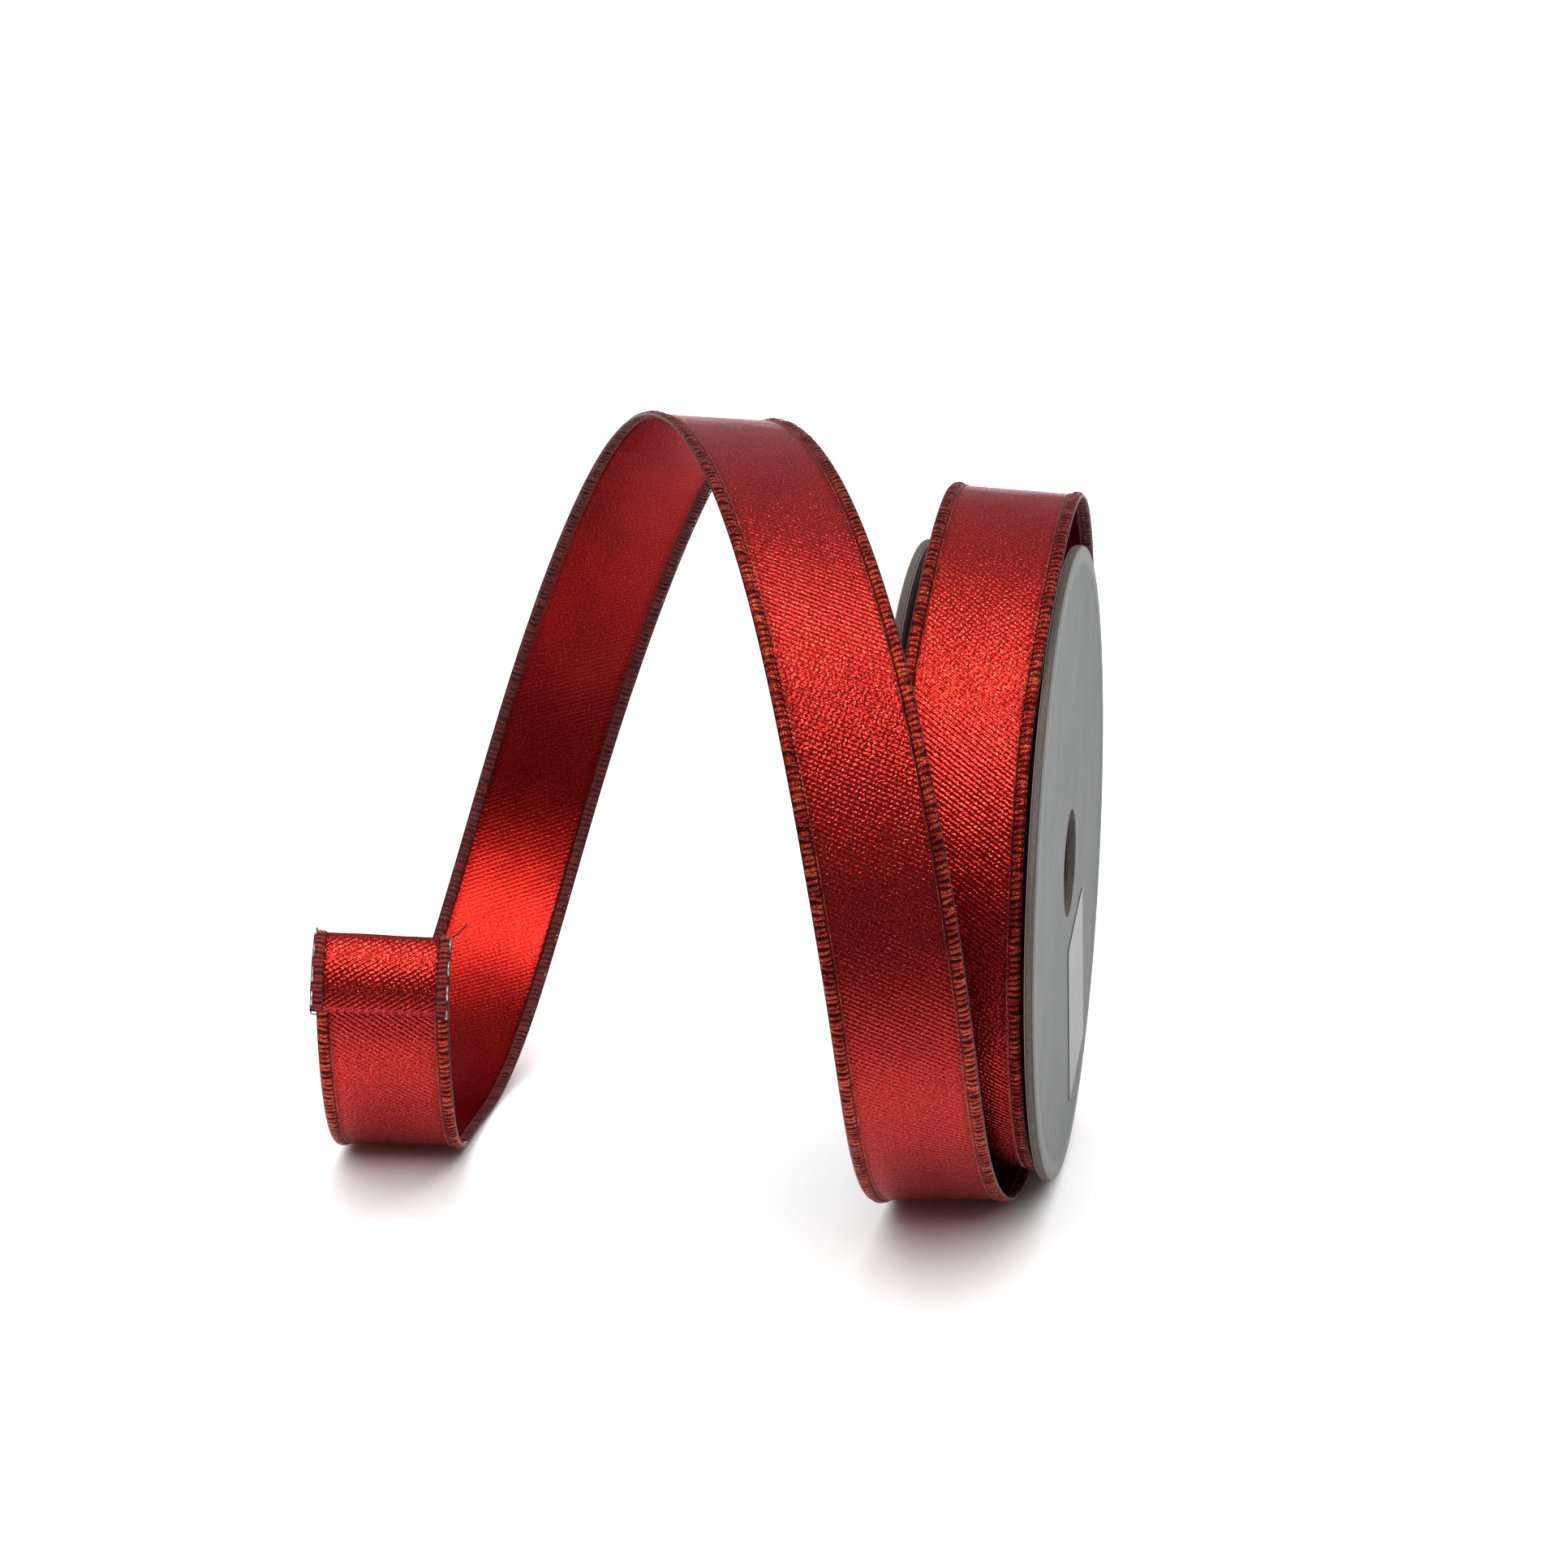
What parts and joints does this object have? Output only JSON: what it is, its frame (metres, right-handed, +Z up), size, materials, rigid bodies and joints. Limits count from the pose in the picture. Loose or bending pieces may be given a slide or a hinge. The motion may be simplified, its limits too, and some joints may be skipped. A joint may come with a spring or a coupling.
{
  "type": "ribbon spool",
  "caption": "Board spool of wired metallic gift ribbon, with its loose end looped out beside it and folded over at the tip.",
  "frame": {"origin": "middle of the footprint of the spool and its loose ribbon, on the surface it stands on", "axes": "+X along the spool's axle line, out of the labelled flange; -Y towards the hanging end of the ribbon; +Z up"},
  "size_m": [0.1406, 0.1522, 0.1464],
  "materials": {
    "ribbon_cloth": "metallic woven lame, crinkled satin",
    "hem_thread": "metallic overlock thread",
    "edge_wire": "bare fine wire",
    "flange_paper": "matt grey facing paper",
    "grey_board": "raw cut greyboard",
    "label_paper": "smooth sticker",
    "core_board": "spiral-wound tube"
  },
  "bodies": {
    "loose_ribbon": {"ribbon_cloth_outer_turn": "ribbon_cloth", "ribbon_cloth_loose_turn": "ribbon_cloth", "ribbon_cloth_front_strip": "ribbon_cloth", "ribbon_cloth_back_strip": "ribbon_cloth", "ribbon_cloth_tail": "ribbon_cloth", "hem_stitching_left_outer_turn": "hem_thread", "hem_stitching_right_outer_turn": "hem_thread", "hem_stitching_left_loose_turn": "hem_thread", "hem_stitching_right_loose_turn": "hem_thread", "hem_stitching_left_front_strip": "hem_thread", "hem_stitching_right_front_strip": "hem_thread", "hem_stitching_left_back_strip": "hem_thread", "hem_stitching_right_back_strip": "hem_thread", "hem_stitching_left_tail": "hem_thread", "hem_stitching_right_tail": "hem_thread", "edge_wire_left": "edge_wire", "edge_wire_right": "edge_wire"},
    "spool": {"flange_board_left": "grey_board", "flange_board_right": "grey_board", "flange_lining_left": "flange_paper", "flange_facing_left": "flange_paper", "flange_lining_right": "flange_paper", "flange_facing_right": "flange_paper", "flange_label": "label_paper", "core_tube": "core_board", "wound_cloth": "ribbon_cloth", "wound_hem_left": "hem_thread", "wound_hem_right": "hem_thread"},
    "end_flap": {"end_flap_cloth": "ribbon_cloth", "end_flap_hem_left": "hem_thread", "end_flap_hem_right": "hem_thread", "end_flap_wire_left": "edge_wire", "end_flap_wire_right": "edge_wire"}
  },
  "joints": [
    {"name": "spool_turn", "type": "hinge", "parent": "loose_ribbon", "child": "spool", "pos_m": [0.05515, 0.00285, 0.06215], "axis": [1, 0, 0], "continuous": true},
    {"name": "end_fold", "type": "hinge", "parent": "loose_ribbon", "child": "end_flap", "pos_m": [-0.05513, -0.03007, 0.05237], "axis": [-0.9847, -0.1661, 0.0534], "range_deg": [0, 150]}
  ]
}
